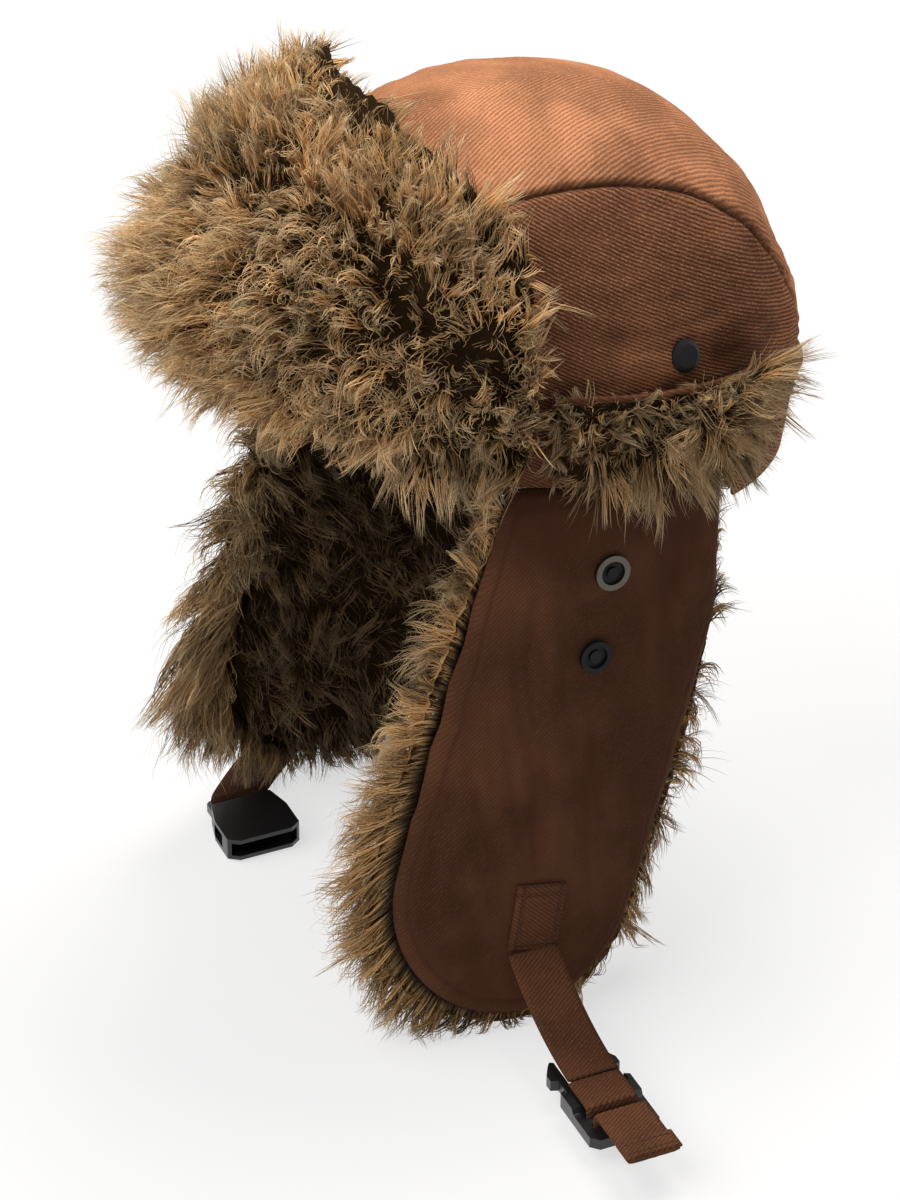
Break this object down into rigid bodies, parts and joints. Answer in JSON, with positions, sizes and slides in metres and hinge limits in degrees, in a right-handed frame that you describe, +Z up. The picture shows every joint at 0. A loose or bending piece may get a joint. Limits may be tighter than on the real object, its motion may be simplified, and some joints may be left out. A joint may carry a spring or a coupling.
{
  "type": "trapper hat",
  "caption": "Trapper hat with a wadded twill crown, turned-up furry visor, furry earflaps, ear covers and a chin strap with a side-release buckle.",
  "frame": {"origin": "the middle of the crown's rim, in the opening the head goes into", "axes": "+Z up out of the crown's top with the wearer's head upright, -Y out of the front under the visor, +X to the wearer's left; the rim is tipped back 9 degrees, front edge higher"},
  "size_m": [0.3345, 0.2536, 0.3347],
  "materials": {
    "twill": "reddish brown cotton twill with fine diagonal ribs",
    "fur": "long golden-beige imitation fur with darker roots",
    "wadding": "soft white wadding",
    "lining": "smooth dark brown lining",
    "webbing": "woven brown strap with stitched edges",
    "black_plastic": "moulded black plastic with a soft shine",
    "black_metal": "blackened metal snap",
    "bright_metal": "plain grey metal ring"
  },
  "bodies": {
    "crown": {"crown_top_panel": "twill", "crown_side_panel_left": "twill", "crown_side_panel_right": "twill", "crown_wadding": "wadding", "crown_lining": "lining", "crown_band": "twill", "sweatband": "lining", "crown_snap_left": "black_metal", "crown_snap_right": "black_metal"},
    "front_visor": {"visor_shell": "twill", "visor_fur": "fur"},
    "earflap_left": {"earflap_shell_left": "twill", "earflap_wadding_left": "wadding", "earflap_fur_left": "fur", "strap_patch_left": "webbing", "snap_ring_left": "bright_metal", "snap_stud_left": "black_metal", "snap_dish_left": "black_metal"},
    "earflap_right": {"earflap_shell_right": "twill", "earflap_wadding_right": "wadding", "earflap_fur_right": "fur", "strap_patch_right": "webbing", "snap_ring_right": "bright_metal", "snap_stud_right": "black_metal", "snap_dish_right": "black_metal"},
    "ear_cover_left": {"ear_cover_shell_left": "twill", "ear_cover_fur_left": "fur"},
    "ear_cover_right": {"ear_cover_shell_right": "twill", "ear_cover_fur_right": "fur"},
    "neck_flap": {"neck_flap_shell": "twill", "neck_flap_fur": "fur"},
    "strap_left": {"webbing_left": "webbing"},
    "buckle_plug": {"buckle_plug": "black_plastic", "strap_tail": "webbing"},
    "prong_near": {"prong_near": "black_plastic"},
    "prong_far": {"prong_far": "black_plastic"},
    "strap_right": {"webbing_right": "webbing"},
    "buckle_socket": {"buckle_socket": "black_plastic"}
  },
  "joints": [
    {"name": "visor_fold", "type": "hinge", "parent": "crown", "child": "front_visor", "pos_m": [0, -0.11383, 0.02026], "axis": [1, 0, 0], "range_deg": [0, 95]},
    {"name": "earflap_fold_left", "type": "hinge", "parent": "crown", "child": "earflap_left", "pos_m": [0.096, -0.00002, -0.00015], "axis": [0, -0.9877, 0.1564], "range_deg": [-15, 135]},
    {"name": "earflap_fold_right", "type": "hinge", "parent": "crown", "child": "earflap_right", "pos_m": [-0.096, -0.00002, -0.00015], "axis": [0, 0.9877, -0.1564], "range_deg": [-2, 148]},
    {"name": "ear_cover_fold_left", "type": "hinge", "parent": "crown", "child": "ear_cover_left", "pos_m": [0.0984, 0.00067, 0.00425], "axis": [0, -0.9877, 0.1564], "range_deg": [-135, 0]},
    {"name": "ear_cover_fold_right", "type": "hinge", "parent": "crown", "child": "ear_cover_right", "pos_m": [-0.0984, 0.00067, 0.00425], "axis": [0, 0.9877, -0.1564], "range_deg": [-135, 0]},
    {"name": "neck_flap_fold", "type": "hinge", "parent": "crown", "child": "neck_flap", "pos_m": [0, 0.11089, -0.01772], "axis": [1, 0, 0], "range_deg": [0, 150]},
    {"name": "strap_fold_left", "type": "hinge", "parent": "earflap_left", "child": "strap_left", "pos_m": [0.11945, -0.04059, -0.17782], "axis": [0, -1, 0], "range_deg": [-42, 40]},
    {"name": "plug_loop", "type": "hinge", "parent": "strap_left", "child": "buckle_plug", "pos_m": [0.17282, -0.04059, -0.19745], "axis": [0, -1, 0], "range_deg": [0, 90]},
    {"name": "prong_flex_near", "type": "hinge", "parent": "buckle_plug", "child": "prong_near", "pos_m": [0.17537, -0.05049, -0.19825], "axis": [0, 0, -1], "range_deg": [0, 8], "stiffness_Nm_per_rad": 0.005},
    {"name": "prong_flex_far", "type": "hinge", "parent": "buckle_plug", "child": "prong_far", "pos_m": [0.17537, -0.03069, -0.19825], "axis": [0, 0, 1], "range_deg": [0, 8], "stiffness_Nm_per_rad": 0.005},
    {"name": "strap_fold_right", "type": "hinge", "parent": "earflap_right", "child": "strap_right", "pos_m": [-0.07795, -0.04069, -0.17843], "axis": [0, 1, 0], "range_deg": [0, 90]},
    {"name": "socket_loop", "type": "hinge", "parent": "strap_right", "child": "buckle_socket", "pos_m": [-0.049, -0.09169, -0.20683], "axis": [0, 1, 0], "range_deg": [-15, 65]}
  ]
}
